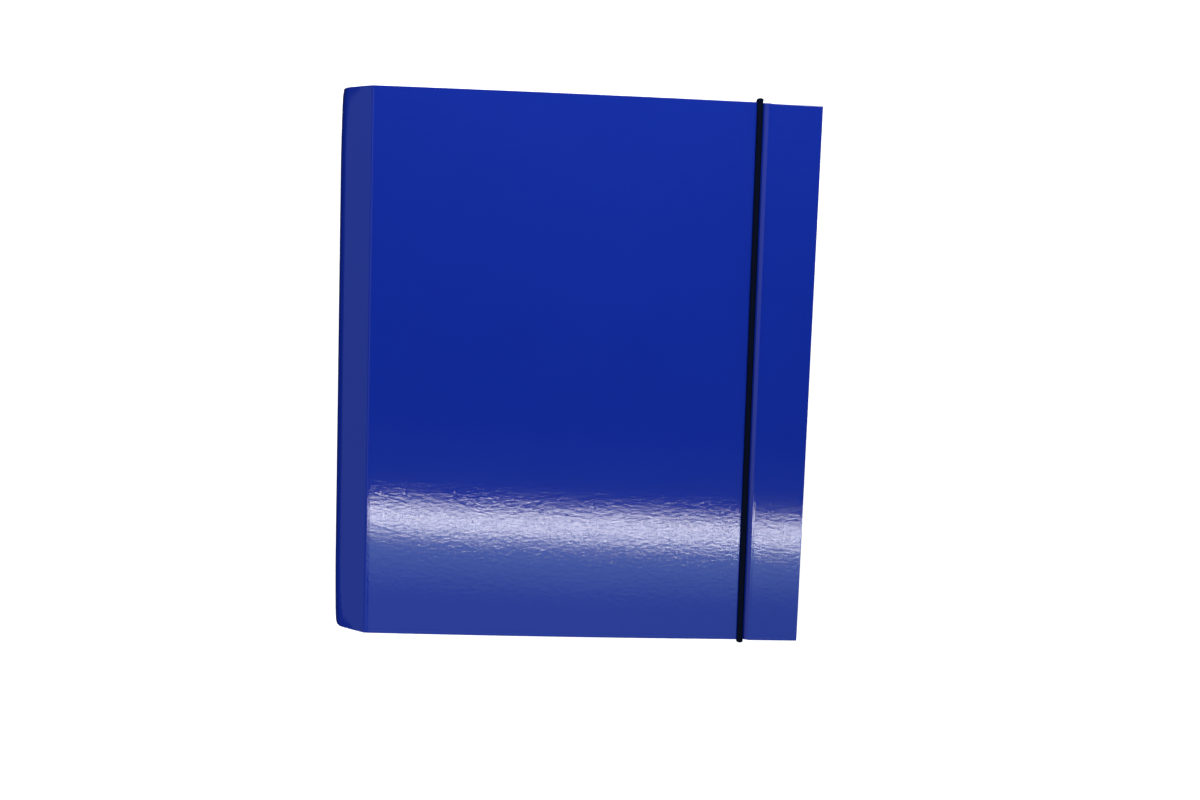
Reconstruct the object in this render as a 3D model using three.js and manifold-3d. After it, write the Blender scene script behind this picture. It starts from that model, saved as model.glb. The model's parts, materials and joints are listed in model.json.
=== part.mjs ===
// Ring binder with a card case, a four-ring mechanism and a round elastic closure.
// Millimetres. The binder lies closed on its back cover: +X to the fore-edge, +Y to the head, +Z up.
import * as THREE from 'three';
import { mergeVertices } from 'three/addons/utils/BufferGeometryUtils.js';
import Module from 'manifold-3d';

const wasm = await Module();
wasm.setup();

const { degToRad } = THREE.MathUtils;

// Case
const coverHeight = 320;
const coverWidth = 281;
const board = 2;
const spineHeight = 30.5;
const stripWidth = 26;
const stripBevel = degToRad(27.5);
const coverBow = 2.4;
const backFoldRadius = 3;
const spineFoldRadius = 7;
const creaseRadius = 3;

// Pressed channel for the elastic, measured back from the fore-edge of the front cover
const channelNear = 31;
const channelFar = 40.5;
const channelDepth = 0.8;
const channelWall = 0.9;

// Clearances
const seatGap = 0.3;
const foldGap = 0.3;

// Ring mechanism
const mechanismX = 29;
const ringCount = 4;
const ringPitch = 80;
const ringRadius = 15;
const wireRadius = 1.4;
const housingEnd = 21;
const housingHalfWidth = 9.6;
const housingHeight = 7.2;
const housingSteel = 0.8;
const housingShoulder = 2.6;
const housingLip = 1;
const crownHalfWidth = 3.2;
const bladeThickness = 1;
const bladeEnd = 7;
const bladeDip = degToRad(8);
const footLength = 5.2;
const footRise = 1.2;
const tenonRadius = 0.9;
const tenonInset = 4;
const notchSide = 0.6;
const notchInner = 2;
const pegRadius = 0.7;
const pegLength = 1.4;

// Rivets that hold the mechanism to the back cover
const rivetInset = 8;
const rivetShank = 1.6;
const rivetHead = 4.2;
const rivetHeadHeight = 0.8;
const rivetFlange = 2.8;

// Elastic, its eyelets and end clips
const cordRadius = 1.6;
const cordBend = 2;
const cordInsetHead = 37.4;
const cordInsetTail = 35.6;
const holeInset = 10;
const eyeletWall = 0.5;
const eyeletFlange = 2;
const eyeletSheet = 0.4;
const clipLength = 14;
const clipWidth = 3;
const clipHeight = 1.6;

const laminatedCard = { color: 0x1b3a9e, roughness: 0.28, metalness: 0 };
const nickelledSteel = { color: 0xb9bcc2, roughness: 0.25, metalness: 1 };
const blackElastic = { color: 0x15161d, roughness: 0.8, metalness: 0 };

// Solids
function toSolid(geometry) {
  const bare = geometry.clone();
  bare.deleteAttribute('normal');
  bare.deleteAttribute('uv');
  const merged = mergeVertices(bare, 1e-5);
  return new wasm.Manifold(new wasm.Mesh({
    numProp: 3,
    vertProperties: new Float32Array(merged.attributes.position.array),
    triVerts: new Uint32Array(merged.index.array),
  }));
}

function toGeometry(solid) {
  const mesh = solid.getMesh();
  const geometry = new THREE.BufferGeometry();
  geometry.setAttribute('position', new THREE.BufferAttribute(mesh.vertProperties, 3));
  geometry.setIndex(new THREE.BufferAttribute(mesh.triVerts, 1));
  geometry.computeVertexNormals();
  return geometry;
}

function cut(geometry, tools) {
  return toGeometry(tools.reduce((solid, tool) => solid.subtract(toSolid(tool)), toSolid(geometry)));
}

function join(geometry, added) {
  return toGeometry(toSolid(geometry).add(toSolid(added)));
}

function mesh(name, geometry, look) {
  const piece = new THREE.Mesh(geometry, new THREE.MeshStandardMaterial(look));
  piece.name = name;
  return piece;
}

function pivotAt(x, z) {
  const pivot = new THREE.Group();
  pivot.position.set(x, 0, z);
  return pivot;
}

// A section drawn in X and Z, drawn out along Y and centred on it
function drawnAlongY(outline, length) {
  const geometry = new THREE.ExtrudeGeometry(new THREE.Shape(outline), { depth: length, bevelEnabled: false });
  return geometry.rotateX(Math.PI / 2).translate(0, length / 2, 0);
}

function uprightCylinder(radius, low, high, x = 0, y = 0, sides = 16) {
  const geometry = new THREE.CylinderGeometry(radius, radius, high - low, sides);
  return geometry.rotateX(Math.PI / 2).translate(x, y, (low + high) / 2);
}

// A route whose steps are the points it is given, few on straights and more in bends
class Route extends THREE.Curve {
  constructor(points) {
    super();
    this.points = points;
  }

  getPointAt(t, target = new THREE.Vector3()) {
    return target.copy(this.points[Math.round(t * (this.points.length - 1))]);
  }

  getTangentAt(t, target = new THREE.Vector3()) {
    const i = Math.round(t * (this.points.length - 1));
    const before = this.points[Math.max(i - 1, 0)];
    const after = this.points[Math.min(i + 1, this.points.length - 1)];
    return target.subVectors(after, before).normalize();
  }
}

function rod(points, radius, sides = 8) {
  const outline = new THREE.EllipseCurve(0, 0, radius, radius).getPoints(sides).slice(0, sides);
  const extrudePath = new Route(points);
  return new THREE.ExtrudeGeometry(new THREE.Shape(outline), { steps: points.length - 1, extrudePath });
}

function bend(before, corner, after, reach, steps) {
  const from = corner.clone().add(before.clone().sub(corner).setLength(reach));
  const to = corner.clone().add(after.clone().sub(corner).setLength(reach));
  return new THREE.QuadraticBezierCurve3(from, corner, to).getPoints(steps);
}

// Section of the closed case. Angles are those of the outward normal of the outer skin.
function polar(angle, length) {
  return new THREE.Vector2(Math.cos(angle), Math.sin(angle)).multiplyScalar(length);
}

function makeFold(corner, radius, normalIn, normalOut) {
  const middle = (normalIn + normalOut) / 2;
  const centre = corner.clone().sub(polar(middle, radius / Math.cos((normalIn - normalOut) / 2)));
  const hinge = centre.clone().add(polar(middle, radius));
  return { centre, radius, normalIn, normalOut, middle, hinge, halfGap: foldGap / 2 / radius };
}

function foldArc(fold, from, to, inset) {
  const steps = 4;
  const points = [];
  for (let i = 0; i <= steps; i += 1) {
    const angle = from + (to - from) * i / steps;
    points.push(fold.centre.clone().add(polar(angle, fold.radius - inset)));
  }
  return points;
}

// Each fold is shared: half of its arc ends one panel and half begins the next
const firstHalf = (fold, inset) => foldArc(fold, fold.normalIn, fold.middle + fold.halfGap, inset);
const secondHalf = (fold, inset) => foldArc(fold, fold.middle - fold.halfGap, fold.normalOut, inset);

const spineTop = new THREE.Vector2(0, spineHeight);
const creaseCorner = spineTop.clone().add(new THREE.Vector2(
  stripWidth * Math.cos(stripBevel),
  stripWidth * Math.sin(stripBevel),
));

// The front cover comes down to rest on the back cover along their fore-edges
const edgeFall = (lift) => Math.atan2(creaseCorner.y - lift, coverWidth - creaseCorner.x);
const coverSlope = edgeFall(board + seatGap + board * Math.cos(edgeFall(2 * board)));
const coverEdge = new THREE.Vector2(coverWidth, board + seatGap + board * Math.cos(coverSlope));
const coverLength = creaseCorner.distanceTo(coverEdge);
const coverAlong = coverEdge.clone().sub(creaseCorner).normalize();
const coverNormalAngle = Math.PI / 2 - Math.atan2(creaseCorner.y - coverEdge.y, coverEdge.x - creaseCorner.x);

const backFold = makeFold(new THREE.Vector2(0, 0), backFoldRadius, 1.5 * Math.PI, Math.PI);
const spineFold = makeFold(spineTop, spineFoldRadius, Math.PI, Math.PI / 2 + stripBevel);
const crease = makeFold(creaseCorner, creaseRadius, Math.PI / 2 + stripBevel, coverNormalAngle);

function coverPoint(station, rise) {
  return creaseCorner.clone()
    .add(coverAlong.clone().multiplyScalar(station))
    .add(polar(coverNormalAngle, rise));
}

function bowAt(station) {
  const share = station / coverLength;
  return 4 * coverBow * share * (1 - share);
}

function coverProfile(inset) {
  const bowSteps = 10;
  const channelStart = coverLength - channelFar;
  const channelEnd = coverLength - channelNear;
  const profile = [];
  for (let i = 1; i < bowSteps; i += 1) {
    const station = channelStart * i / bowSteps;
    profile.push(coverPoint(station, bowAt(station) - inset));
  }
  profile.push(
    coverPoint(channelStart, bowAt(channelStart) - inset),
    coverPoint(channelStart + channelWall, bowAt(channelStart) - channelDepth - inset),
    coverPoint(channelEnd - channelWall, bowAt(channelEnd) - channelDepth - inset),
    coverPoint(channelEnd, bowAt(channelEnd) - inset),
    coverPoint(coverLength, -inset),
  );
  return profile;
}

function panel(name, skin, hinge) {
  const outline = [...skin(0), ...skin(board).reverse()];
  return mesh(name, drawnAlongY(outline, coverHeight).translate(-hinge.x, 0, -hinge.y), laminatedCard);
}

function panels() {
  const spinePivot = pivotAt(backFold.hinge.x, backFold.hinge.y);
  const stripPivot = pivotAt(spineFold.hinge.x - backFold.hinge.x, spineFold.hinge.y - backFold.hinge.y);
  const coverPivot = pivotAt(crease.hinge.x - spineFold.hinge.x, crease.hinge.y - spineFold.hinge.y);
  spinePivot.add(panel(
    'spine_panel',
    (inset) => [...secondHalf(backFold, inset), ...firstHalf(spineFold, inset)],
    backFold.hinge,
  ));
  stripPivot.add(panel(
    'front_hinge_strip',
    (inset) => [...secondHalf(spineFold, inset), ...firstHalf(crease, inset)],
    spineFold.hinge,
  ));
  coverPivot.add(panel(
    'front_cover',
    (inset) => [...secondHalf(crease, inset), ...coverProfile(inset)],
    crease.hinge,
  ));
  spinePivot.name = 'spine_pivot';
  stripPivot.name = 'strip_pivot';
  coverPivot.name = 'cover_pivot';
  stripPivot.add(coverPivot);
  spinePivot.add(stripPivot);
  return spinePivot;
}

// Places along the spine and the fore-edge that several pieces share
const ringPlaces = Array.from({ length: ringCount }, (_, i) => (i - (ringCount - 1) / 2) * ringPitch);
const ringSpan = ringPitch * (ringCount - 1);
const housingLength = ringSpan + 2 * housingEnd;
const rivetPlaces = { head: housingLength / 2 - rivetInset, tail: rivetInset - housingLength / 2 };
const cordEnds = {
  head: { x: coverWidth - cordInsetHead, side: 1, inset: cordInsetHead },
  tail: { x: coverWidth - cordInsetTail, side: -1, inset: cordInsetTail },
};
const rivetHole = rivetShank + seatGap;
const eyeletBore = cordRadius + seatGap;
const eyeletBarrel = eyeletBore + eyeletWall;
const eyeletHole = eyeletBarrel + seatGap;
const holeY = coverHeight / 2 - holeInset;

function backCover() {
  const skin = (inset) => [new THREE.Vector2(coverWidth, inset), ...firstHalf(backFold, inset)];
  const outline = [...skin(0), ...skin(board).reverse()];
  const holes = [
    ...Object.values(rivetPlaces).map((y) => uprightCylinder(rivetHole, -board, 2 * board, mechanismX, y)),
    ...Object.values(cordEnds).map((end) => (
      uprightCylinder(eyeletHole, -board, 2 * board, end.x, end.side * holeY)
    )),
  ];
  return mesh('back_cover', cut(drawnAlongY(outline, coverHeight), holes), laminatedCard);
}

// Ring mechanism, drawn with its own zero on the inner face of the back cover
const housingFloor = seatGap + 0.1;
const bladePivot = new THREE.Vector2(
  housingHalfWidth - housingSteel - seatGap - 0.1,
  housingFloor + housingSteel + seatGap + bladeThickness / 2,
);
const bladeWidth = bladePivot.x - seatGap / 2;
const bladeLength = ringSpan + 2 * bladeEnd;
const bladeOut = new THREE.Vector2(Math.cos(bladeDip), Math.sin(bladeDip));
const bladeUp = new THREE.Vector2(-Math.sin(bladeDip), Math.cos(bladeDip));
const footHeight = bladeThickness / 2 + seatGap + wireRadius;

function bladePoint(inward, up) {
  return bladePivot.clone()
    .sub(bladeOut.clone().multiplyScalar(inward))
    .add(bladeUp.clone().multiplyScalar(up));
}

function quarterArch(width, height, steps = 6) {
  const points = [];
  for (let i = 0; i <= steps; i += 1) {
    const angle = Math.PI / 2 * i / steps;
    points.push(new THREE.Vector2(
      crownHalfWidth + (width - crownHalfWidth) * Math.cos(angle),
      housingShoulder + (height - housingShoulder) * Math.sin(angle),
    ));
  }
  return points;
}

function housing() {
  const innerWidth = housingHalfWidth - housingSteel;
  const half = [
    new THREE.Vector2(innerWidth - housingLip, housingFloor),
    new THREE.Vector2(housingHalfWidth, housingFloor),
    ...quarterArch(housingHalfWidth, housingHeight),
  ];
  const halfInside = [
    new THREE.Vector2(innerWidth - housingLip, housingFloor + housingSteel),
    new THREE.Vector2(innerWidth, housingFloor + housingSteel),
    ...quarterArch(innerWidth, housingHeight - housingSteel),
  ];
  const mirrored = (points) => points.map((p) => new THREE.Vector2(-p.x, p.y)).reverse();
  const outline = [...half, ...mirrored(half), ...mirrored([...halfInside].reverse()), ...halfInside.reverse()];
  const notchHigh = housingHeight + 1;
  const notchLow = bladePivot.y - bladeThickness / 2;
  const notchOuter = housingHalfWidth + 1;
  const notches = ringPlaces.flatMap((y) => [-1, 1].map((side) => {
    const box = new THREE.BoxGeometry(notchOuter - notchInner, 2 * (wireRadius + notchSide), notchHigh - notchLow);
    return box.translate(side * (notchInner + notchOuter) / 2, y, (notchLow + notchHigh) / 2);
  }));
  const holes = Object.values(rivetPlaces).map((y) => (
    uprightCylinder(rivetHole, housingHeight / 2, 2 * housingHeight, 0, y)
  ));
  return mesh('mechanism_housing', cut(drawnAlongY(outline, housingLength), [...notches, ...holes]), nickelledSteel);
}

function rivet(name, y) {
  const under = -board - seatGap;
  const over = housingHeight + seatGap;
  const profile = [
    [0, under - rivetHeadHeight],
    [rivetHead * 0.6, under - rivetHeadHeight],
    [rivetHead * 0.9, under - rivetHeadHeight / 2],
    [rivetHead, under],
    [rivetShank, under],
    [rivetShank, over],
    [rivetFlange, over],
    [rivetFlange * 0.9, over + rivetHeadHeight / 2],
    [rivetFlange * 0.5, over + rivetHeadHeight * 0.8],
    [0, over + rivetHeadHeight],
  ].map(([r, z]) => new THREE.Vector2(r, z));
  const geometry = new THREE.LatheGeometry(profile, 16).rotateX(Math.PI / 2);
  return mesh(name, geometry.translate(0, y, 0), nickelledSteel);
}

// Carrier blades and ring halves are drawn for one side (-1 left, 1 right) and seen from their pivot
function blade(side) {
  const holes = ringPlaces.map((y) => (
    uprightCylinder(tenonRadius + seatGap, -2 * bladeThickness, 2 * bladeThickness, -side * tenonInset, y)
  ));
  const plate = new THREE.BoxGeometry(bladeWidth, bladeLength, bladeThickness).translate(-side * bladeWidth / 2, 0, 0);
  return cut(plate, holes).rotateY(-side * bladeDip);
}

function ringPath(side) {
  const place = (p) => new THREE.Vector3(side * (p.x - bladePivot.x), 0, p.y - bladePivot.y);
  const exit = bladePoint(-footRise, footHeight);
  const centre = new THREE.Vector2(0, exit.y + Math.sqrt(ringRadius ** 2 - exit.x ** 2));
  const low = Math.atan2(exit.y - centre.y, exit.x);
  const bendReach = 2;
  const start = low + bendReach / ringRadius;
  const tip = Math.PI / 2 - seatGap / ringRadius;
  const arcSteps = 14;
  const points = [place(bladePoint(footLength, footHeight))];
  points.push(...bend(points[0], place(exit), place(centre.clone().add(polar(start, ringRadius))), bendReach, 4));
  for (let i = 1; i <= arcSteps; i += 1) {
    points.push(place(centre.clone().add(polar(start + (tip - start) * i / arcSteps, ringRadius))));
  }
  return { points, top: place(centre.clone().add(polar(Math.PI / 2, ringRadius))) };
}

function ringHalf(side) {
  const { points, top } = ringPath(side);
  const tenon = uprightCylinder(tenonRadius, -bladeThickness / 2, footHeight, -side * tenonInset, 0, 12);
  const footed = join(rod(points, wireRadius), tenon.rotateY(-side * bladeDip));
  const isPeg = side < 0;
  const radius = isPeg ? pegRadius : pegRadius + seatGap;
  const reach = isPeg ? pegLength : pegLength + seatGap;
  const tool = new THREE.CylinderGeometry(radius, radius, 2 * reach, 12).rotateZ(Math.PI / 2).translate(top.x, 0, top.z);
  return isPeg ? join(footed, tool) : cut(footed, [tool]);
}

function carrier(side, label) {
  const pivot = pivotAt(side * bladePivot.x, bladePivot.y);
  pivot.name = `${label}_pivot`;
  pivot.add(mesh(`carrier_${label}`, blade(side), nickelledSteel));
  ringPlaces.forEach((y, i) => {
    const half = mesh(`ring_half_${label}_${i + 1}`, ringHalf(side), nickelledSteel);
    half.position.y = y;
    pivot.add(half);
  });
  return pivot;
}

function mechanism() {
  const group = new THREE.Group();
  group.position.set(mechanismX, 0, board);
  group.add(
    housing(),
    rivet('housing_rivet_top', rivetPlaces.head),
    rivet('housing_rivet_bottom', rivetPlaces.tail),
    carrier(-1, 'left'),
    carrier(1, 'right'),
  );
  return group;
}

// The elastic is one stretched cord: up out of its eyelet, round the edge and across the front cover
const cordLow = -seatGap - cordRadius;
const eyeletTop = board + seatGap + eyeletSheet;

function cordTop(inset) {
  const station = coverLength - inset / Math.cos(coverSlope);
  return coverPoint(station, bowAt(station) - channelDepth + seatGap + cordRadius);
}

function cordEndRoute({ x, side, inset }) {
  const top = cordTop(inset);
  const edgeY = side * (coverHeight / 2 + seatGap + cordRadius);
  const corners = [
    new THREE.Vector3(x, side * holeY, eyeletTop),
    new THREE.Vector3(x, side * holeY, cordLow),
    new THREE.Vector3(x, edgeY, cordLow),
    new THREE.Vector3(top.x, edgeY, top.y),
    new THREE.Vector3(top.x, 0, top.y),
  ];
  const route = [corners[0]];
  for (let i = 1; i < corners.length - 1; i += 1) {
    route.push(...bend(corners[i - 1], corners[i], corners[i + 1], cordBend, 4));
  }
  return route;
}

function elastic() {
  const head = cordEndRoute(cordEnds.head);
  const tail = cordEndRoute(cordEnds.tail).reverse();
  const middleSteps = 6;
  const from = head[head.length - 1];
  const straight = Array.from({ length: middleSteps - 1 }, (_, i) => (
    from.clone().lerp(tail[0], (i + 1) / middleSteps)
  ));
  return mesh('elastic_cord', rod([...head, ...straight, ...tail], cordRadius), blackElastic);
}

function eyelet(name, { x, side }) {
  const rim = eyeletBarrel + eyeletFlange;
  const profile = [
    [eyeletBore, seatGap],
    [eyeletBarrel, seatGap],
    [eyeletBarrel, board + seatGap],
    [rim, board + seatGap],
    [rim - eyeletSheet, eyeletTop],
    [eyeletBore, eyeletTop],
    [eyeletBore, seatGap],
  ].map(([r, z]) => new THREE.Vector2(r, z));
  const geometry = new THREE.LatheGeometry(profile, 20).rotateX(Math.PI / 2);
  return mesh(name, geometry.translate(x, side * holeY, 0), nickelledSteel);
}

// A crimped bar across the eyelet, which the end of the cord can't pull through
function clip(name, { x, side }) {
  const outline = new THREE.Shape();
  const half = clipHeight / 2;
  outline.absarc(clipWidth / 2 - half, 0, half, -Math.PI / 2, Math.PI / 2);
  outline.absarc(half - clipWidth / 2, 0, half, Math.PI / 2, 1.5 * Math.PI);
  const geometry = new THREE.ExtrudeGeometry(outline, { depth: clipLength, bevelEnabled: false, curveSegments: 4 });
  geometry.translate(0, 0, -clipLength / 2).rotateY(Math.PI / 2).rotateX(Math.PI / 2);
  return mesh(name, geometry.translate(x, side * holeY, eyeletTop + seatGap + clipHeight / 2), nickelledSteel);
}

const binder = new THREE.Group();
binder.add(
  backCover(),
  panels(),
  mechanism(),
  elastic(),
  eyelet('cord_eyelet_top', cordEnds.head),
  eyelet('cord_eyelet_bottom', cordEnds.tail),
  clip('cord_clip_top', cordEnds.head),
  clip('cord_clip_bottom', cordEnds.tail),
);

// It rests on the two rivet heads and on the elastic under the fore-edge, so it leans a little
const cordDrop = cordRadius - cordLow;
const rivetDrop = seatGap + rivetHeadHeight;
const cordRestX = (cordEnds.head.x + cordEnds.tail.x) / 2;
binder.rotation.y = -Math.atan2(cordDrop - rivetDrop, cordRestX - mechanismX);

const part = new THREE.Group();
part.add(binder);
const box = new THREE.Box3().setFromObject(part, true);
const centre = box.getCenter(new THREE.Vector3());
binder.position.set(-centre.x, -centre.y, -box.min.z);

export default part;
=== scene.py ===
import json
import math

import bmesh
import bpy
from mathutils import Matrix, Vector
from mathutils import noise


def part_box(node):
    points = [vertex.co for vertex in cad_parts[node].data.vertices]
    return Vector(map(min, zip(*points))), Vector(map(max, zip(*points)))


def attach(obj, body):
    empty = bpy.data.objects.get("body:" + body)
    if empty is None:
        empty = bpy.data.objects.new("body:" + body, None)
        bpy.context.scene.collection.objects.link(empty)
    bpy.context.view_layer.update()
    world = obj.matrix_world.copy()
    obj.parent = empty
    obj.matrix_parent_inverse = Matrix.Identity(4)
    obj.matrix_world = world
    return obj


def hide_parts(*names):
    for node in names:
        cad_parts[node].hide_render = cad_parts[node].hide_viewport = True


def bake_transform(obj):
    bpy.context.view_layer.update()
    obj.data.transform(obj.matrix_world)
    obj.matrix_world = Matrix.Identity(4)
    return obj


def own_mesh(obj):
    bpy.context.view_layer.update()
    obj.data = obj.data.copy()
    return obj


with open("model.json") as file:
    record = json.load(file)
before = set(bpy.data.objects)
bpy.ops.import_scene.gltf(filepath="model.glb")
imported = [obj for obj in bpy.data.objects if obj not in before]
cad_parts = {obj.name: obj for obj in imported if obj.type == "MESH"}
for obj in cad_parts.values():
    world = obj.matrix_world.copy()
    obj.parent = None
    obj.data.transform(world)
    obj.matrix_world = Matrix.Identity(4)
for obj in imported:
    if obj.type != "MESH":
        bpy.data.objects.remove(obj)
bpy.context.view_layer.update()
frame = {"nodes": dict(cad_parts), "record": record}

print("frame loaded:", len(frame["nodes"]), "nodes")

mm = 0.001

# sizes of the folded case in mm, along u (spine to fore-edge) and w (up through the closed binder)
case = {
    "height": 320.0,
    "width": 281.0,
    "board": 2.0,
    "spine": 30.5,
    "strip": 26.0,
    "bevel": math.radians(27.5),
    "bow": 2.4,
    "backRadius": 3.0,
    "spineRadius": 10.0,
    "creaseRadius": 2.2,
    "foldMargin": 1.5,
    "seat": 0.3,
    "edgeRound": 0.22,
    "cornerEase": 1.3,
    "cornerReach": 8.0,
    "endEase": 1.1,
    "endReach": 48.0,
    "ripple": 0.035,
    "ripplePitch": 70.0,
    "twist": 1.0,
    "edgeColumn": 0.5,
    "rows": 44,
    "backPitch": 8.0,
    "spinePitch": 5.0,
    "stripPitch": 4.0,
    "easeWay": (0.86, -0.40),
    "easeFrom": 8.0,
    "cornerRound": 0.98,
}

# material places on the case: laminate outside, liner inside, raw board at the cut edges
linerPlace = 1
edgePlace = 2

# pressed channel under the elastic: pairs of distance from the cord towards the spine and depth, in mm
channel = {
    "middle": 36.5,
    "skew": 0.9,
    "skewReach": 1.15,
    "lip": 0.4,
    "innerColumns": 22,
    "outerColumns": 6,
    "shape": [
        (-7.2, 0.0), (-6.6, -0.04), (-6.1, -0.13), (-5.75, -0.17), (-5.4, -0.12), (-5.1, 0.02), (-4.4, 0.31),
        (-2.5, 1.10), (-2.1, 1.22), (-1.6, 1.28), (-0.6, 1.28), (0.3, 1.15), (0.8, 0.8), (1.2, 0.3),
        (1.5, 0.04), (1.8, 0.0),
    ],
}

# the case lies with its back cover at a small lean, which the spine's mount gives,
# and the mount is this many mm above the spine's lower corner
mountRise = 15
spineMount = frame["record"]["mounts"][0]
alongU = Vector((-spineMount["axis"][0], 0.0, -spineMount["axis"][2])).normalized()
alongW = Vector((-alongU.z, 0.0, alongU.x))
caseOrigin = Vector(spineMount["pos_m"]) - alongW * mountRise * mm


def at(u, y, w):
    return caseOrigin + alongU * u * mm + alongW * w * mm + Vector((0, y * mm, 0))


# helpers for making and finishing pieces
def deselectAll():
    if bpy.context.object and bpy.context.object.mode != "OBJECT":
        bpy.ops.object.mode_set(mode="OBJECT")
    bpy.ops.object.select_all(action="DESELECT")


def makeActive(piece):
    deselectAll()
    piece.select_set(True)
    bpy.context.view_layer.objects.active = piece


def settle(piece):
    makeActive(piece)
    bpy.ops.object.transform_apply(location=True, rotation=True, scale=True)


def applyModifiers(piece):
    makeActive(piece)
    for modifier in list(piece.modifiers):
        bpy.ops.object.modifier_apply(modifier=modifier.name)


def easeEdges(piece, width, degrees):
    ease = piece.modifiers.new("edges", "BEVEL")
    ease.width = width * mm
    ease.segments = 2
    ease.limit_method = "ANGLE"
    ease.angle_limit = math.radians(degrees)


def editAll(piece, operation, **options):
    makeActive(piece)
    bpy.ops.object.mode_set(mode="EDIT")
    bpy.ops.mesh.select_all(action="SELECT")
    operation(**options)
    bpy.ops.object.mode_set(mode="OBJECT")


def mergeDoubles(piece):
    editAll(piece, bpy.ops.mesh.remove_doubles, threshold=1e-6)


def smooth(piece, degrees=32):
    makeActive(piece)
    bpy.ops.object.shade_smooth_by_angle(angle=math.radians(degrees))


def wear(piece, *materials):
    piece.data.materials.clear()
    for material in materials:
        piece.data.materials.append(material)


# shader helpers
def newMaterial(name):
    material = bpy.data.materials.new(name)
    material.use_nodes = True
    shader = material.node_tree.nodes["Principled BSDF"]
    return material, material.node_tree, shader


def addNode(tree, kind, **values):
    node = tree.nodes.new(kind)
    for key, value in values.items():
        setattr(node, key, value)
    return node


def link(tree, source, target):
    tree.links.new(source, target)


def feed(tree, value, socket):
    if isinstance(value, bpy.types.NodeSocket):
        link(tree, value, socket)
    else:
        socket.default_value = value


def mathNode(tree, operation, *values):
    node = addNode(tree, "ShaderNodeMath", operation=operation)
    for socket, value in zip(node.inputs, values):
        feed(tree, value, socket)
    return node.outputs["Value"]


def noiseField(tree, vector, scale, detail=2.0, stretch=(1, 1, 1), rough=0.5):
    mapping = addNode(tree, "ShaderNodeMapping")
    mapping.inputs["Scale"].default_value = stretch
    link(tree, vector, mapping.inputs["Vector"])
    field = addNode(tree, "ShaderNodeTexNoise")
    field.inputs["Scale"].default_value = scale
    field.inputs["Detail"].default_value = detail
    field.inputs["Roughness"].default_value = rough
    link(tree, mapping.outputs["Vector"], field.inputs["Vector"])
    return field.outputs["Fac"]


def between(tree, value, low, high, start=0.0, stop=1.0, ease="LINEAR"):
    spread = addNode(tree, "ShaderNodeMapRange", interpolation_type=ease)
    spread.inputs["From Min"].default_value = start
    spread.inputs["From Max"].default_value = stop
    feed(tree, low, spread.inputs["To Min"])
    feed(tree, high, spread.inputs["To Max"])
    link(tree, value, spread.inputs["Value"])
    return spread.outputs["Result"]


def blendColors(tree, value, first, second):
    blend = addNode(tree, "ShaderNodeMix", data_type="RGBA")
    feed(tree, first, blend.inputs["A"])
    feed(tree, second, blend.inputs["B"])
    link(tree, value, blend.inputs["Factor"])
    return blend.outputs["Result"]


def bumpNormal(tree, height, strength, distance, before=None):
    bump = addNode(tree, "ShaderNodeBump")
    bump.inputs["Strength"].default_value = strength
    bump.inputs["Distance"].default_value = distance
    link(tree, height, bump.inputs["Height"])
    if before:
        link(tree, before, bump.inputs["Normal"])
    return bump.outputs["Normal"]


# faint rubbing that the laminate, the liner and the metal share
def wearGroup():
    group = bpy.data.node_groups.new("fineWear", "ShaderNodeTree")
    group.interface.new_socket("Scale", in_out="INPUT", socket_type="NodeSocketFloat")
    group.interface.new_socket("Amount", in_out="INPUT", socket_type="NodeSocketFloat")
    group.interface.new_socket("Mask", in_out="OUTPUT", socket_type="NodeSocketFloat")
    entry = addNode(group, "NodeGroupInput")
    leave = addNode(group, "NodeGroupOutput")
    place = addNode(group, "ShaderNodeTexCoord")
    cloud = addNode(group, "ShaderNodeTexNoise")
    cloud.inputs["Detail"].default_value = 6.0
    cloud.inputs["Roughness"].default_value = 0.65
    link(group, place.outputs["Object"], cloud.inputs["Vector"])
    link(group, entry.outputs["Scale"], cloud.inputs["Scale"])
    amount = mathNode(group, "MULTIPLY", cloud.outputs["Fac"], entry.outputs["Amount"])
    link(group, amount, leave.inputs["Mask"])
    return group


fineWear = wearGroup()


def wearMask(tree, scale):
    node = addNode(tree, "ShaderNodeGroup", node_tree=fineWear)
    node.inputs["Scale"].default_value = scale
    node.inputs["Amount"].default_value = 1.0
    return node.outputs["Mask"]


# materials; pitches are cycles per metre and heights are metres
laminateLook = {
    "deep": (0.0030, 0.0170, 0.248, 1),
    "light": (0.0042, 0.0205, 0.272, 1),
    "dust": (0.35, 0.38, 0.5, 1),
    "wear": 14.0,
    "roughness": (0.02, 0.04),
    "peelPitch": 1 / 0.0019,
    "peelStretch": (0.55, 1.0, 1.0),
    "peelHeight": 0.000030,
    "peelDetail": 4.0,
    "peelGrit": 0.62,
    "dustPitch": 1 / 0.028,
    "dustSize": 0.008,
    "swellPitch": 1 / 0.014,
    "swellHeight": 0.000010,
}


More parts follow.
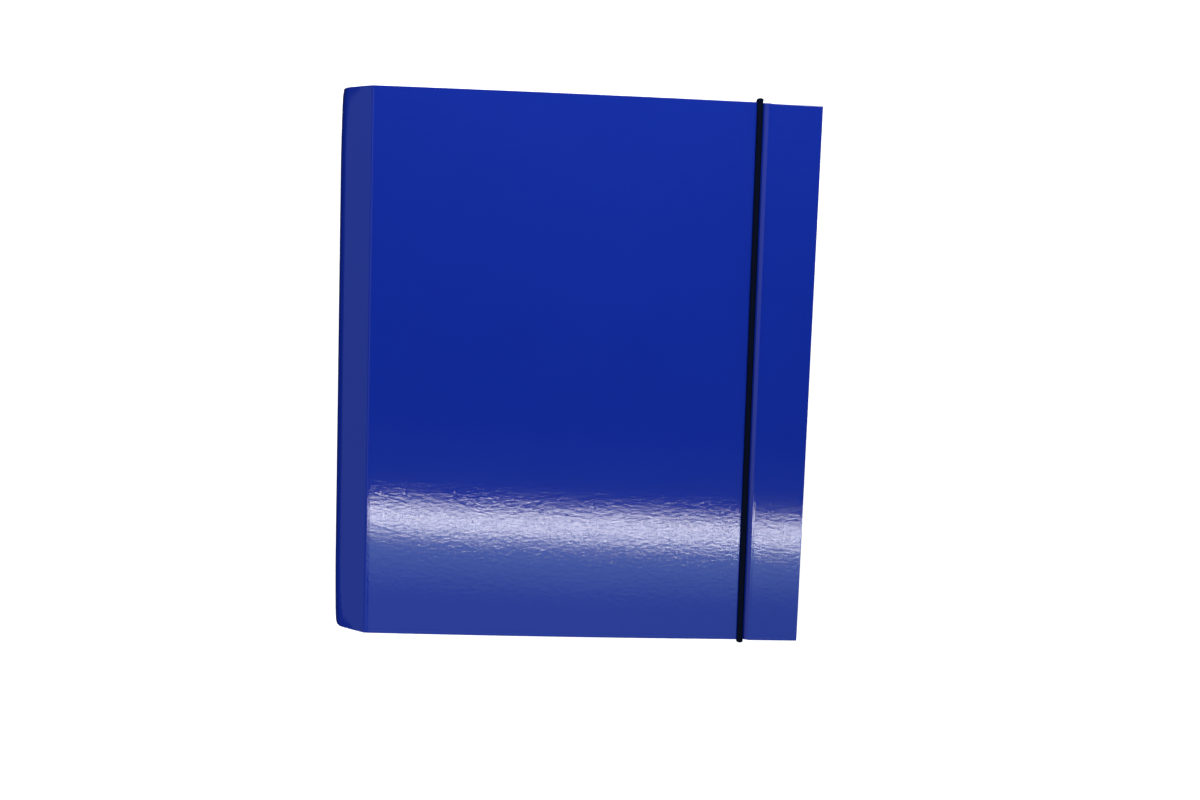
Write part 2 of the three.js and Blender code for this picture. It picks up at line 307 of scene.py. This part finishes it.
def makeLaminate():
    material, tree, shader = newMaterial("blueLaminate")
    place = addNode(tree, "ShaderNodeTexCoord").outputs["Object"]
    mask = wearMask(tree, laminateLook["wear"])
    speck = addNode(tree, "ShaderNodeTexVoronoi")
    speck.inputs["Scale"].default_value = laminateLook["dustPitch"]
    link(tree, place, speck.inputs["Vector"])
    dust = mathNode(tree, "LESS_THAN", speck.outputs["Distance"], laminateLook["dustSize"])
    card = blendColors(tree, mask, laminateLook["deep"], laminateLook["light"])
    link(tree, blendColors(tree, dust, card, laminateLook["dust"]), shader.inputs["Base Color"])
    link(tree, between(tree, mask, *laminateLook["roughness"]), shader.inputs["Roughness"])
    stretch = laminateLook["peelStretch"]
    peel = noiseField(
        tree, place, laminateLook["peelPitch"], laminateLook["peelDetail"], stretch, laminateLook["peelGrit"])
    swell = noiseField(tree, place, laminateLook["swellPitch"], 1.0, stretch)
    soft = bumpNormal(tree, swell, 1.0, laminateLook["swellHeight"])
    link(tree, bumpNormal(tree, peel, 1.0, laminateLook["peelHeight"], soft), shader.inputs["Normal"])
    return material


boardLook = {
    "dark": (0.36, 0.36, 0.44, 1),
    "pale": (0.60, 0.60, 0.68, 1),
    "fibrePitch": 900.0,
    "fibreStretch": (0.2, 0.2, 1.0),
    "fibreHeight": 0.0001,
}


def makeBoardEdge():
    material, tree, shader = newMaterial("paleBoardEdge")
    place = addNode(tree, "ShaderNodeTexCoord").outputs["Object"]
    fibre = noiseField(tree, place, boardLook["fibrePitch"], 4.0, boardLook["fibreStretch"])
    link(tree, blendColors(tree, fibre, boardLook["dark"], boardLook["pale"]), shader.inputs["Base Color"])
    link(tree, bumpNormal(tree, fibre, 0.5, boardLook["fibreHeight"]), shader.inputs["Normal"])
    shader.inputs["Roughness"].default_value = 0.85
    return material


linerLook = {
    "grey": (0.60, 0.61, 0.63, 1),
    "pale": (0.70, 0.71, 0.73, 1),
    "wear": 9.0,
    "toothPitch": 1500.0,
    "toothHeight": 0.00008,
}


def makeLiner():
    material, tree, shader = newMaterial("paperLiner")
    place = addNode(tree, "ShaderNodeTexCoord").outputs["Object"]
    tooth = noiseField(tree, place, linerLook["toothPitch"], 5.0)
    mask = wearMask(tree, linerLook["wear"])
    link(tree, blendColors(tree, mask, linerLook["grey"], linerLook["pale"]), shader.inputs["Base Color"])
    link(tree, bumpNormal(tree, tooth, 0.25, linerLook["toothHeight"]), shader.inputs["Normal"])
    shader.inputs["Roughness"].default_value = 0.62
    return material


nickelLook = {
    "grey": (0.62, 0.62, 0.63, 1),
    "bright": (0.74, 0.74, 0.74, 1),
    "roughness": (0.12, 0.26),
    "wear": 120.0,
    "drawnPitch": 700.0,
    "drawnStretch": (1.0, 0.06, 1.0),
    "drawnHeight": 0.00004,
}


def makeNickel():
    material, tree, shader = newMaterial("brightNickel")
    place = addNode(tree, "ShaderNodeTexCoord").outputs["Object"]
    mask = wearMask(tree, nickelLook["wear"])
    drawn = noiseField(tree, place, nickelLook["drawnPitch"], 2.0, nickelLook["drawnStretch"])
    link(tree, blendColors(tree, mask, nickelLook["grey"], nickelLook["bright"]), shader.inputs["Base Color"])
    link(tree, between(tree, mask, *nickelLook["roughness"]), shader.inputs["Roughness"])
    link(tree, bumpNormal(tree, drawn, 0.08, nickelLook["drawnHeight"]), shader.inputs["Normal"])
    shader.inputs["Metallic"].default_value = 1.0
    return material


# the braid's two tones are painted shade: dark down in the grooves between the strands, light on the strands'
# crests
elasticLook = {
    "dark": (0.0008, 0.0014, 0.0050, 1),
    "light": (0.0034, 0.0052, 0.0150, 1),
    "strands": 12.0,
    "pitch": 0.0016,
    "height": 0.00022,
}


def makeElastic():
    material, tree, shader = newMaterial("braidedElastic")
    chart = addNode(tree, "ShaderNodeUVMap", uv_map="braid").outputs["UV"]
    parts = addNode(tree, "ShaderNodeSeparateXYZ")
    link(tree, chart, parts.inputs["Vector"])

    def strand(turn):
        around = mathNode(tree, "MULTIPLY", parts.outputs["X"], elasticLook["strands"] * math.pi)
        along = mathNode(tree, "MULTIPLY", parts.outputs["Y"], turn * math.pi / elasticLook["pitch"])
        return mathNode(tree, "ABSOLUTE", mathNode(tree, "SINE", mathNode(tree, "ADD", around, along)))

    height = mathNode(tree, "MAXIMUM", strand(1), strand(-1))
    # painted shade: the colour follows the strand height, darker in the grooves between strands and lighter
    # on their crests
    color = blendColors(tree, height, elasticLook["dark"], elasticLook["light"])
    link(tree, color, shader.inputs["Base Color"])
    link(tree, bumpNormal(tree, height, 0.7, elasticLook["height"]), shader.inputs["Normal"])
    shader.inputs["Roughness"].default_value = 0.85
    shader.inputs["Specular IOR Level"].default_value = 0.0
    return material


laminate = makeLaminate()
boardEdge = makeBoardEdge()
liner = makeLiner()
nickel = makeNickel()
elasticBraid = makeElastic()
print("materials made")


# section of the case: straight runs joined by folds whose outer skin is an arc
def polar(angle, length):
    return Vector((math.cos(angle), math.sin(angle))) * length


def makeFold(corner, radius, normalIn, normalOut, steps):
    middle = (normalIn + normalOut) / 2
    centre = corner - polar(middle, radius / math.cos((normalIn - normalOut) / 2))
    reach = radius * math.tan((normalIn - normalOut) / 2)
    turn = normalOut - normalIn
    skin = [centre + polar(normalIn + turn * i / steps, radius) for i in range(steps + 1)]
    return {"skin": skin, "reach": reach}


spineTop = Vector((0.0, case["spine"]))
stripAlong = polar(case["bevel"], 1.0)
creaseCorner = spineTop + stripAlong * case["strip"]


def edgeFall(lift):
    return math.atan2(creaseCorner.y - lift, case["width"] - creaseCorner.x)


# the front cover's fore-edge rests on the back cover's with a small gap
def frontLift(slope):
    return case["board"] + case["seat"] + case["board"] * math.cos(slope)


coverSlope = edgeFall(frontLift(edgeFall(2 * case["board"])))
coverEdge = Vector((case["width"], frontLift(coverSlope)))
coverLength = (coverEdge - creaseCorner).length
coverAlong = (coverEdge - creaseCorner).normalized()
coverUp = Vector((-coverAlong.y, coverAlong.x))
coverNormal = math.atan2(coverUp.y, coverUp.x)
stripNormal = math.pi / 2 + case["bevel"]

backFold = makeFold(Vector((0.0, 0.0)), case["backRadius"], 1.5 * math.pi, math.pi, 10)
spineFold = makeFold(spineTop, case["spineRadius"], math.pi, stripNormal, 14)
creaseFold = makeFold(creaseCorner, case["creaseRadius"], stripNormal, coverNormal, 8)
coverStart = creaseFold["reach"] + case["foldMargin"]


def run(start, end, pitch):
    steps = max(1, round((end - start).length / pitch))
    return [start.lerp(end, i / steps) for i in range(steps + 1)]


def bowAt(station):
    share = station / coverLength
    return 4 * case["bow"] * share * (1 - share)


def coverPoint(station, depth=0.0):
    return creaseCorner + coverAlong * station + coverUp * (bowAt(station) - depth)


# columns of the front cover as (station, channel depth)
def coverColumns():
    middle = coverLength - channel["middle"]
    pressed = [(middle - offset, depth) for offset, depth in reversed(channel["shape"])]
    first, last = pressed[0][0], pressed[-1][0]
    inner, outer = channel["innerColumns"], channel["outerColumns"]
    columns = [(coverStart + (first - coverStart) * i / inner, 0.0) for i in range(inner)]
    columns += [(first - channel["lip"], 0.0)] + pressed + [(last + channel["lip"], 0.0)]
    columns += [(last + (coverLength - last) * i / outer, 0.0) for i in range(1, outer)]
    return columns + [(coverLength - case["edgeColumn"], 0.0), (coverLength, 0.0)]


# the channel leans with the stretched cord, so its columns shift from head to tail
def leanStation(station, y):
    middle = coverLength - channel["middle"]
    share = station / middle if station < middle else (coverLength - station) / channel["middle"]
    return station - channel["skew"] * 2 * y / case["height"] * min(1.0, share * channel["skewReach"])


# height stations lie closer together near the head and the tail
def heightStations():
    half = case["height"] / 2
    inner = half - case["edgeColumn"]
    rows = case["rows"]
    turns = [math.pi / 2 * (2 * i / rows - 1) for i in range(rows + 1)]
    return [-half] + [inner * math.sin(turn) for turn in turns] + [half]


# handling has pressed the spine's upper fold in towards the head and the tail
def cornerEase(point, y):
    half = case["height"] / 2
    over = max(0.0, (abs(y) - half + case["cornerReach"]) / case["cornerReach"])
    away = max(0.0, (abs(y) - half + case["endReach"]) / case["endReach"])
    sink = case["cornerEase"] * (1 - math.sqrt(1 - over * over * case["cornerRound"]))
    sink += case["endEase"] * away * away
    if point.y > case["spine"] and point.x < creaseCorner.x:
        share = 1 - point.x / creaseCorner.x
    elif point.x < case["backRadius"]:
        share = max(0.0, (point.y - case["easeFrom"]) / (case["spine"] - case["easeFrom"]))
    else:
        share = 0.0
    share = max(0.0, min(1.0, share))
    return Vector(case["easeWay"]) * sink * share * share


def ripple(point, y):
    place = Vector((point.x, y, point.y)) / case["ripplePitch"]
    return noise.noise(place) * case["ripple"]


# a grid whose vertices go where place(i, j) says, with i across and j along
def gridPiece(name, columns, rows, place):
    deselectAll()
    bpy.ops.mesh.primitive_grid_add(x_subdivisions=columns, y_subdivisions=rows, size=2)
    piece = bpy.context.object
    piece.name = name
    for vertex in piece.data.vertices:
        i = round((vertex.co.x + 1) / 2 * columns)
        j = round((vertex.co.y + 1) / 2 * rows)
        vertex.co = place(i, j)
    return piece


# the folded sheet: one outline from the back cover's fore-edge round the spine to the front cover's
panelNames = ["backCover", "backFold", "spinePanel", "spineFold", "hingeStrip", "creaseFold", "frontCover"]


def caseOutline():
    margin = case["foldMargin"]
    backSkin, spineSkin, creaseSkin = backFold["skin"], spineFold["skin"], creaseFold["skin"]
    backNear = Vector((case["width"] - case["edgeColumn"], 0.0))
    backIn = backSkin[0] + Vector((margin, 0.0))
    backOut = backSkin[-1] + Vector((0.0, margin))
    spineIn = spineSkin[0] - Vector((0.0, margin))
    spineOut = spineSkin[-1] + stripAlong * margin
    creaseIn = creaseSkin[0] - stripAlong * margin
    pieces = [
        [Vector((case["width"], 0.0))] + run(backNear, backIn, case["backPitch"]),
        [backIn] + backSkin + [backOut],
        run(backOut, spineIn, case["spinePitch"]),
        [spineIn] + spineSkin + [spineOut],
        run(spineOut, creaseIn, case["stripPitch"]),
        [creaseIn] + creaseSkin + [coverPoint(coverStart)],
        [coverPoint(*column) for column in frontColumns],
    ]
    points, owners = [pieces[0][0]], []
    for index, piece in enumerate(pieces):
        points += piece[1:]
        owners += [index] * (len(piece) - 1)
    return points, owners, pieces


frontColumns = coverColumns()
outlinePoints, outlineOwners, outlinePieces = caseOutline()
heights = heightStations()


# where a vertex of the sheet lies, with i round the section and j from tail to head
def casePlace(i, j):
    point, y = outlinePoints[i], heights[j]
    front = i - (len(outlinePoints) - len(frontColumns))
    if front > 0:
        station, depth = frontColumns[front]
        point = coverPoint(leanStation(station, y), depth)
    before = outlinePoints[max(0, i - 1)]
    after = outlinePoints[min(len(outlinePoints) - 1, i + 1)]
    along = (after - before).normalized()
    normal = Vector((-along.y, along.x))
    moved = point + cornerEase(point, y) + normal * ripple(point, y)
    twist = case["twist"] * max(0.0, front / len(frontColumns)) ** 2
    return at(moved.x, y - twist, moved.y)


# one panel or fold is separated from the sheet by the number that its faces carry
def takePanel(sheet, index, name):
    makeActive(sheet)
    bpy.ops.object.mode_set(mode="EDIT")
    bpy.ops.mesh.select_mode(type="FACE")
    bpy.ops.mesh.select_all(action="DESELECT")
    edit = bmesh.from_edit_mesh(sheet.data)
    layer = edit.faces.layers.int["owner"]
    for face in edit.faces:
        face.select_set(face[layer] == index)
    bmesh.update_edit_mesh(sheet.data)
    bpy.ops.mesh.separate(type="SELECTED")
    bpy.ops.object.mode_set(mode="OBJECT")
    panel = [piece for piece in bpy.context.selected_objects if piece != sheet][0]
    panel.name = name
    return panel


def makeCase():
    sheet = gridPiece("caseSheet", len(outlinePoints) - 1, len(heights) - 1, casePlace)
    wear(sheet, laminate, liner, boardEdge)
    owner = sheet.data.attributes.new("owner", "INT", "FACE")
    columns = len(outlinePoints) - 1
    for face in sheet.data.polygons:
        owner.data[face.index].value = outlineOwners[face.index % columns]
    solid = sheet.modifiers.new("board", "SOLIDIFY")
    solid.thickness = case["board"] * mm
    solid.offset = -1.0
    solid.use_even_offset = True
    solid.material_offset = linerPlace
    solid.material_offset_rim = edgePlace
    easeEdges(sheet, case["edgeRound"], 60)
    applyModifiers(sheet)
    smooth(sheet)
    made = [takePanel(sheet, index, name) for index, name in enumerate(panelNames[:-1])]
    sheet.name = panelNames[-1]
    return made + [sheet]


panels = makeCase()
print("case folded:", [len(panel.data.polygons) for panel in panels])


# the cuts through the board are open where a fold begins, so each piece is closed there
def closeCuts(piece):
    makeActive(piece)
    bpy.ops.object.mode_set(mode="EDIT")
    bpy.ops.mesh.select_mode(type="EDGE")
    bpy.ops.mesh.select_all(action="DESELECT")
    bpy.ops.mesh.select_non_manifold(
        extend=False, use_wire=False, use_multi_face=False, use_non_contiguous=False, use_verts=False)
    edit = bmesh.from_edit_mesh(piece.data)
    loops = [edge for edge in edit.edges if edge.select]
    made = bmesh.ops.holes_fill(edit, edges=loops, sides=0)
    for face in made["faces"]:
        face.material_index = edgePlace
        face.smooth = False
    bmesh.update_edit_mesh(piece.data)
    bpy.ops.object.mode_set(mode="OBJECT")


for panel in panels:
    closeCuts(panel)


# round holes in the back cover: the radius in mm round each piece that passes through
holes = {
    "housing_rivet_top": 1.75,
    "housing_rivet_bottom": 1.75,
    "cord_eyelet_top": 2.45,
    "cord_eyelet_bottom": 2.45,
}
drill = {"sides": 40, "length": 12, "rise": 2}


def drillBack(back):
    cutters = []
    for node, radius in holes.items():
        low, high = (Vector(corner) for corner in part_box(node))
        middle = (low + high) / 2
        deselectAll()
        bpy.ops.mesh.primitive_cylinder_add(
            vertices=drill["sides"], radius=radius * mm, depth=drill["length"] * mm,
            location=(middle.x, middle.y, drill["rise"] * mm))
        cutters.append(bpy.context.object)
        wear(cutters[-1], boardEdge)
    deselectAll()
    for cutter in cutters:
        cutter.select_set(True)
    bpy.context.view_layer.objects.active = cutters[0]
    bpy.ops.object.join()
    tool = bpy.context.object
    settle(tool)
    hole = back.modifiers.new("holes", "BOOLEAN")
    hole.object = tool
    hole.solver = "EXACT"
    applyModifiers(back)
    bpy.data.objects.remove(tool)


drillBack(panels[0])

panelBodies = ["back", "spine", "strip", "front"]
panelNodes = ["back_cover", "spine_panel", "front_hinge_strip", "front_cover"]
for panel, body, node in zip(panels[0::2], panelBodies, panelNodes):
    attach(panel, body)
    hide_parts(node)


# the inner line of a run lies one board thickness in; each fold is only baked in place, and the inner ends of
# its margins are worked out but not used
def innerLine(start, end):
    along = (end - start).normalized()
    inward = Vector((along.y, -along.x)) * case["board"]
    return start + inward, end + inward


for fold, pair in zip(panels[1::2], zip(panelBodies, panelBodies[1:])):
    path = outlinePieces[panels.index(fold)]
    begin = innerLine(path[0], path[1])[0]
    finish = innerLine(path[-2], path[-1])[1]
    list(pair)
    at(begin.x, 0, begin.y)
    at(finish.x, 0, finish.y)
    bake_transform(fold)
print("case rides")


# elastic: one round braided cord round the board, taut in its channel, sizes in mm
elastic = {
    "radius": 1.8,
    "bend": 2.0,
    "bendSteps": 8,
    "sunk": 0.8,
    "seat": 0.15,
    "wrapFrom": 160.2,
    "wrapPress": 0.58,
    "wrapSpread": 1.12,
    "wrapReach": 1.2,
    "insetHead": 37.2,
    "insetTail": 35.0,
    "holeInset": 10.0,
    "under": -1.9,
    "innerEnd": 2.7,
    "outside": 1.9,
    "sides": 40,
    "pitch": 0.34,
    "strands": 10,
    "twist": 3.4,
    "relief": 0.07,
}


def cordTop(inset):
    station = coverLength - inset / math.cos(coverSlope)
    return coverPoint(station, elastic["sunk"] - elastic["seat"] - elastic["radius"])


def cordCorners(side, inset):
    u = case["width"] - inset
    half = case["height"] / 2
    out = half + elastic["outside"]
    top = cordTop(inset)
    return [
        at(u, side * (half - elastic["holeInset"]), elastic["innerEnd"]),
        at(u, side * (half - elastic["holeInset"]), elastic["under"]),
        at(u, side * out, elastic["under"]),
        at(top.x, side * out, top.y),
    ]


def roundedRoute(corners, radius, pitch):
    points = [corners[0]]
    for before, corner, after in zip(corners, corners[1:], corners[2:]):
        back = (before - corner).normalized()
        ahead = (after - corner).normalized()
        half = back.angle(ahead) / 2
        reach = radius / math.tan(half)
        centre = corner + (back + ahead).normalized() * radius / math.sin(half)
        first = corner + back * reach - centre
        last = corner + ahead * reach - centre
        for i in range(elastic["bendSteps"] + 1):
            turned = first.slerp(last, i / elastic["bendSteps"]).normalized()
            points.append(centre + turned * radius)
    points.append(corners[-1])
    route = [points[0]]
    for start, end in zip(points, points[1:]):
        steps = max(1, round((end - start).length / pitch))
        route += [start.lerp(end, i / steps) for i in range(1, steps + 1)]
    return route


# frames that follow a route without twisting
def routeFrames(route):
    frames = []
    side = None
    for index, point in enumerate(route):
        ahead = (route[min(index + 1, len(route) - 1)] - route[max(index - 1, 0)]).normalized()
        if side is None:
            side = ahead.orthogonal()
        side = (side - ahead * side.dot(ahead)).normalized()
        frames.append((point, side, ahead.cross(side)))
    return frames


def routeLengths(route):
    total, lengths = 0.0, [0.0]
    for start, end in zip(route, route[1:]):
        total += (end - start).length
        lengths.append(total)
    return lengths


def tube(name, route, radius, sides, relief):
    frames = routeFrames(route)
    lengths = routeLengths(route)

    def place(i, j):
        angle = 2 * math.pi * (i % sides) / sides
        centre, side, up = frames[j]
        size = radius + relief(angle, lengths[j])
        return centre + (side * math.cos(angle) + up * math.sin(angle)) * size

    piece = gridPiece(name, sides, len(route) - 1, place)
    chart = piece.data.uv_layers[0]
    chart.name = "braid"
    for loop in chart.data:
        loop.uv.y *= lengths[-1]
    mergeDoubles(piece)
    editAll(piece, bpy.ops.mesh.fill_holes, sides=0)
    return piece


def braidRelief(angle, length):
    turn = angle * elastic["strands"] / 2
    along = length / mm * elastic["twist"] / 2
    rise = max(abs(math.sin(turn + along)), abs(math.sin(turn - along)))
    return (rise - 1.0) * elastic["relief"] * mm


tail = cordCorners(-1, elastic["insetTail"])
head = cordCorners(1, elastic["insetHead"])
elasticRoute = roundedRoute(tail + head[::-1], elastic["bend"] * mm, elastic["pitch"] * mm)
elasticCord = tube("elasticCord", elasticRoute, elastic["radius"] * mm, elastic["sides"], braidRelief)


# pulled hard round the board, the cord lies flatter there
def flattenWrap(cord):
    for vertex in cord.data.vertices:
        over = abs(vertex.co.y) - elastic["wrapFrom"] * mm
        if over > 0:
            inset = elastic["insetHead"] if vertex.co.y > 0 else elastic["insetTail"]
            middle = at(case["width"] - inset, 0, 0).x
            ease = min(1.0, over / (elastic["wrapReach"] * mm))
            pressed = elastic["wrapFrom"] * mm + over * elastic["wrapPress"]
            vertex.co.y = math.copysign(pressed, vertex.co.y)
            vertex.co.x = middle + (vertex.co.x - middle) * (1 + (elastic["wrapSpread"] - 1) * ease)


flattenWrap(elasticCord)
makeActive(elasticCord)
bpy.ops.object.shade_smooth()
wear(elasticCord, elasticBraid)
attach(elasticCord, "back")
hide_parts("elastic_cord")
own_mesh(elasticCord)
print("elastic laid:", round(routeLengths(elasticRoute)[-1] * 1000), "mm along its route")


# metal pieces: each CAD shape is merged and its edges are eased; sizes in mm and degrees
metal = {"edge": 0.12, "edgeAngle": 38, "flatAngle": 0.5, "smoothAngle": 30}


def polish(node, body):
    source = bpy.data.objects[node]
    piece = bpy.data.objects.new("fine_" + node, source.data.copy())
    bpy.context.scene.collection.objects.link(piece)
    mergeDoubles(piece)
    editAll(piece, bpy.ops.mesh.dissolve_limited, angle_limit=math.radians(metal["flatAngle"]))
    easeEdges(piece, metal["edge"], metal["edgeAngle"])
    applyModifiers(piece)
    smooth(piece, metal["smoothAngle"])
    wear(piece, nickel)
    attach(piece, body)
    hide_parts(node)


cardAndCord = panelNodes + ["elastic_cord"]
for body, nodes in frame["record"]["behaviour"]["bodies"].items():
    for node in nodes:
        if node not in cardAndCord:
            polish(node, body)
print("metal polished")


# a plain pale floor that is bright to the camera and dark in the laminate's mirror
floorLook = {
    "size": 14,
    "cuts": 6,
    "paint": (0.86, 0.86, 0.86, 1),
    "glow": 0.62,
    "glowSpan": (0.35, 1.4),
    "mirror": 0.02,
}


def makeFloor():
    deselectAll()
    bpy.ops.mesh.primitive_plane_add(size=floorLook["size"], location=(0, 0, 0))
    floor = bpy.context.object
    floor.name = "paleFloor"
    editAll(floor, bpy.ops.mesh.subdivide, number_cuts=floorLook["cuts"])
    settle(floor)
    material, tree, shader = newMaterial("palePaper")
    shader.inputs["Base Color"].default_value = floorLook["paint"]
    shader.inputs["Roughness"].default_value = 1.0
    shader.inputs["Specular IOR Level"].default_value = 0.0
    path = addNode(tree, "ShaderNodeLightPath")
    away = addNode(tree, "ShaderNodeVectorMath", operation="LENGTH")
    link(tree, addNode(tree, "ShaderNodeTexCoord").outputs["Object"], away.inputs[0])
    glow = between(
        tree, away.outputs["Value"], floorLook["glow"], 1.0, *floorLook["glowSpan"], "SMOOTHSTEP")
    shader.inputs["Emission Color"].default_value = (1, 1, 1, 1)
    link(tree, glow, shader.inputs["Emission Strength"])
    dark = addNode(tree, "ShaderNodeEmission")
    dark.inputs["Strength"].default_value = floorLook["mirror"]
    pick = addNode(tree, "ShaderNodeMixShader")
    link(tree, path.outputs["Is Camera Ray"], pick.inputs["Fac"])
    link(tree, dark.outputs["Emission"], pick.inputs[1])
    link(tree, shader.outputs["BSDF"], pick.inputs[2])
    link(tree, pick.outputs["Shader"], tree.nodes["Material Output"].inputs["Surface"])
    wear(floor, material)


# the room as the laminate mirrors it: strengths, and the spans of direction over which they change
room = {
    "horizon": 0.42,
    "horizonLeft": 0.07,
    "leftSpan": (-0.9, -0.2),
    "zenith": 0.05,
    "zenithHead": 0.11,
    "headSpan": (-0.05, 0.22),
    "riseSpan": (0.20, 0.70),
}


def makeWorld():
    world = bpy.data.worlds.new("paleRoom")
    bpy.context.scene.world = world
    world.use_nodes = True
    tree = world.node_tree
    back = tree.nodes["Background"]
    place = addNode(tree, "ShaderNodeTexCoord")
    parts = addNode(tree, "ShaderNodeSeparateXYZ")
    link(tree, place.outputs["Generated"], parts.inputs["Vector"])
    low = between(
        tree, parts.outputs["X"], room["horizonLeft"], room["horizon"], *room["leftSpan"], "SMOOTHSTEP")
    high = between(
        tree, parts.outputs["Y"], room["zenith"], room["zenithHead"], *room["headSpan"], "SMOOTHSTEP")
    rise = between(tree, parts.outputs["Z"], low, high, *room["riseSpan"], "SMOOTHSTEP")
    path = addNode(tree, "ShaderNodeLightPath")
    seen = addNode(tree, "ShaderNodeMix", data_type="FLOAT")
    link(tree, path.outputs["Is Camera Ray"], seen.inputs["Factor"])
    link(tree, rise, seen.inputs["A"])
    seen.inputs["B"].default_value = 1.0
    back.inputs["Color"].default_value = (1, 1, 1, 1)
    link(tree, seen.outputs["Result"], back.inputs["Strength"])


# lamps as name, place, target, size, watts and colour; lengths are metres
white = (1, 1, 1)
lamps = [
    ("keyLamp", (0.10, 0.48, 0.46), (0, 0, 0.03), (0.7, 0.3), 4.8, white),
    ("sideLamp", (-1.5, 0, 0.50), (-0.13, 0, 0.035), (3.0, 0.24), 0.66, (0.86, 1.12, 1.12)),
    ("leftLamp", (-0.48, -0.12, 0.98), (-0.48, -0.12, 0.0), (0.50, 1.2), 0.98, white),
    ("tailLamp", (-0.30, -0.72, 0.42), (-0.06, -0.08, 0.03), (0.3, 0.3), 3.1, white),
]

# a slim softbox that the cover mirrors, then its dimmer spill: bands as near edge, far edge and radiance
softbox = {
    "height": 1.03,
    "middle": 0.43,
    "length": 1.26,
    "turn": math.radians(-3.0),
    "spill": (0.64, 0.92, 1.08),
    "bands": [
        (-0.3015, -0.317, 32.0),
        (-0.317, -0.355, 2.7),
        (-0.355, -0.397, 1.7),
        (-0.397, -0.605, 0.75),
        (-0.240, -0.3015, 0.2),
        (-0.190, -0.240, 0.1),
    ],
}


def areaLamp(name, location, target, size, watts, color):
    data = bpy.data.lights.new(name, "AREA")
    data.shape = "RECTANGLE"
    data.size, data.size_y = size
    data.energy = watts
    data.color = color
    lamp = bpy.data.objects.new(name, data)
    bpy.context.scene.collection.objects.link(lamp)
    lamp.location = location
    lamp.rotation_euler = (Vector(location) - Vector(target)).to_track_quat("Z", "Y").to_euler()
    lamp.visible_camera = False
    return lamp


def hangSoftbox():
    for index, (near, far, radiance) in enumerate(softbox["bands"]):
        spot = Vector((softbox["middle"], (near + far) / 2, softbox["height"]))
        size = (softbox["length"], near - far)
        watts = math.pi * size[0] * size[1] * radiance
        color = softbox["spill"] if index else white
        lamp = areaLamp("softbox%d" % index, spot, (spot.x, spot.y, 0), size, watts, color)
        lamp.rotation_euler = (0, 0, softbox["turn"])


shot = {
    "place": (0.0680, 0.0540, 0.7595),
    "turn": (-5.366, 4.165, 1.951),
    "lens": 37.5,
    "sensor": 36.0,
    "nearest": 0.01,
}


def makeCamera():
    lens = bpy.data.cameras.new("photoCamera")
    lens.lens = shot["lens"]
    lens.sensor_width = shot["sensor"]
    lens.clip_start = shot["nearest"]
    camera = bpy.data.objects.new("photoCamera", lens)
    bpy.context.scene.collection.objects.link(camera)
    camera.location = shot["place"]
    camera.rotation_euler = [math.radians(angle) for angle in shot["turn"]]
    bpy.context.scene.camera = camera


makeFloor()
makeWorld()
for lamp in lamps:
    areaLamp(*lamp)
hangSoftbox()
makeCamera()
bpy.context.scene.view_settings.view_transform = "Standard"
print("room lit")
